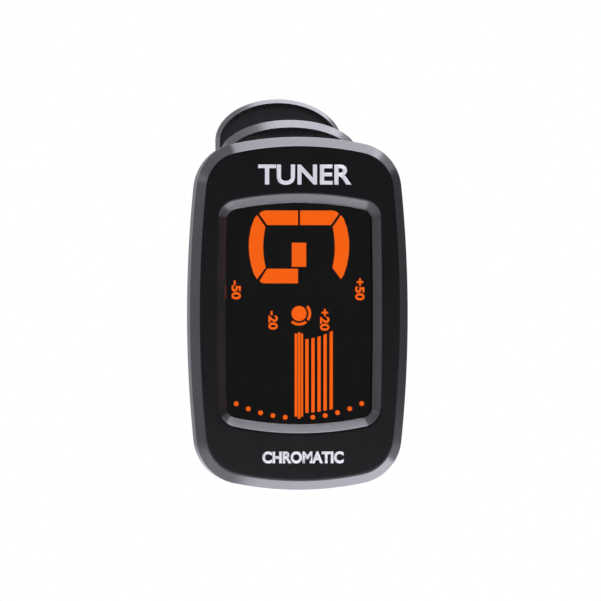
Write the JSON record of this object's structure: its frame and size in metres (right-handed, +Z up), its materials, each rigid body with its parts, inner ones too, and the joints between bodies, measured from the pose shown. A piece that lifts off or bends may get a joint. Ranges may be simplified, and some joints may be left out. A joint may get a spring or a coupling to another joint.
{
  "type": "clip-on instrument tuner",
  "caption": "Clip-on instrument tuner: an upright display head that swivels and tilts on a sprung two-jaw clip.",
  "frame": {"origin": "centre of the front jaw pad's grip face", "axes": "+Y out of the front pad's grip face and away from the reader, +Z up towards the finger levers, +X to the reader's right; the display looks along -Y"},
  "size_m": [0.0346, 0.0371, 0.0626],
  "materials": {
    "case_gloss": "moulded black plastic, semi-gloss",
    "clip_plastic": "moulded black plastic, satin",
    "lens": "polished clear acrylic",
    "display_dark": "black mask of a negative display",
    "segment_orange": "lit orange display segment",
    "light_guide": "milky amber acrylic",
    "board_green": "solder mask over glass fibre",
    "chip_black": "moulded epoxy",
    "contact_gold": "plated spring brass",
    "steel": "plated steel",
    "cell_steel": "drawn stainless steel",
    "disc_brass": "rolled brass with a ceramic layer",
    "rubber_black": "moulded soft rubber",
    "nylon_white": "natural nylon",
    "lead_red": "insulation",
    "lead_black": "insulation",
    "print_silver": "silver pad print"
  },
  "bodies": {
    "clip": {"front_lever": "clip_plastic", "hinge_pin": "steel", "torsion_spring": "steel", "front_pad": "rubber_black"},
    "rear_jaw": {"rear_lever": "clip_plastic", "torsion_spring_rear_leg": "steel", "rear_pad": "rubber_black"},
    "turntable": {"swivel_base": "clip_plastic", "swivel_washer": "steel", "swivel_screw": "steel", "tilt_washer_left": "nylon_white", "tilt_washer_right": "nylon_white"},
    "head": {"front_cover": "case_gloss", "rear_cover": "case_gloss", "tilt_pin": "steel", "display_lens": "lens", "display_panel": "display_dark", "light_guide": "light_guide", "backlight_led": "nylon_white", "contact_strip": "rubber_black", "circuit_board": "board_green", "controller_chip": "chip_black", "clock_crystal": "steel", "button_switch": "chip_black", "coin_cell": "cell_steel", "negative_contact": "contact_gold", "positive_contact": "contact_gold", "case_screw_upper_left": "steel", "case_screw_upper_right": "steel", "case_screw_lower_left": "steel", "case_screw_lower_right": "steel", "pickup_disc": "disc_brass", "pickup_lead_signal": "lead_red", "pickup_lead_ground": "lead_black"},
    "button": {"power_button": "rubber_black"},
    "door": {"battery_door": "case_gloss"}
  },
  "joints": [
    {"name": "jaw_hinge", "type": "hinge", "parent": "clip", "child": "rear_jaw", "pos_m": [0, -0.0022, 0.028], "axis": [1, 0, 0], "range_deg": [0, 32], "stiffness_Nm_per_rad": 0.12, "springref_deg": -45.84},
    {"name": "head_swivel", "type": "hinge", "parent": "clip", "child": "turntable", "pos_m": [0, -0.0059, -0.002], "axis": [0, 1, 0], "continuous": true},
    {"name": "head_tilt", "type": "hinge", "parent": "turntable", "child": "head", "pos_m": [0, -0.0116, -0.0065], "axis": [1, 0, 0], "range_deg": [0, 90]},
    {"name": "power_press", "type": "slide", "parent": "head", "child": "button", "axis": [-1, 0, 0], "range_m": [0, 0.0003], "stiffness_N_per_m": 300},
    {"name": "door_slide", "type": "slide", "parent": "head", "child": "door", "axis": [0, 0, 1], "range_m": [0, 0.024]}
  ]
}
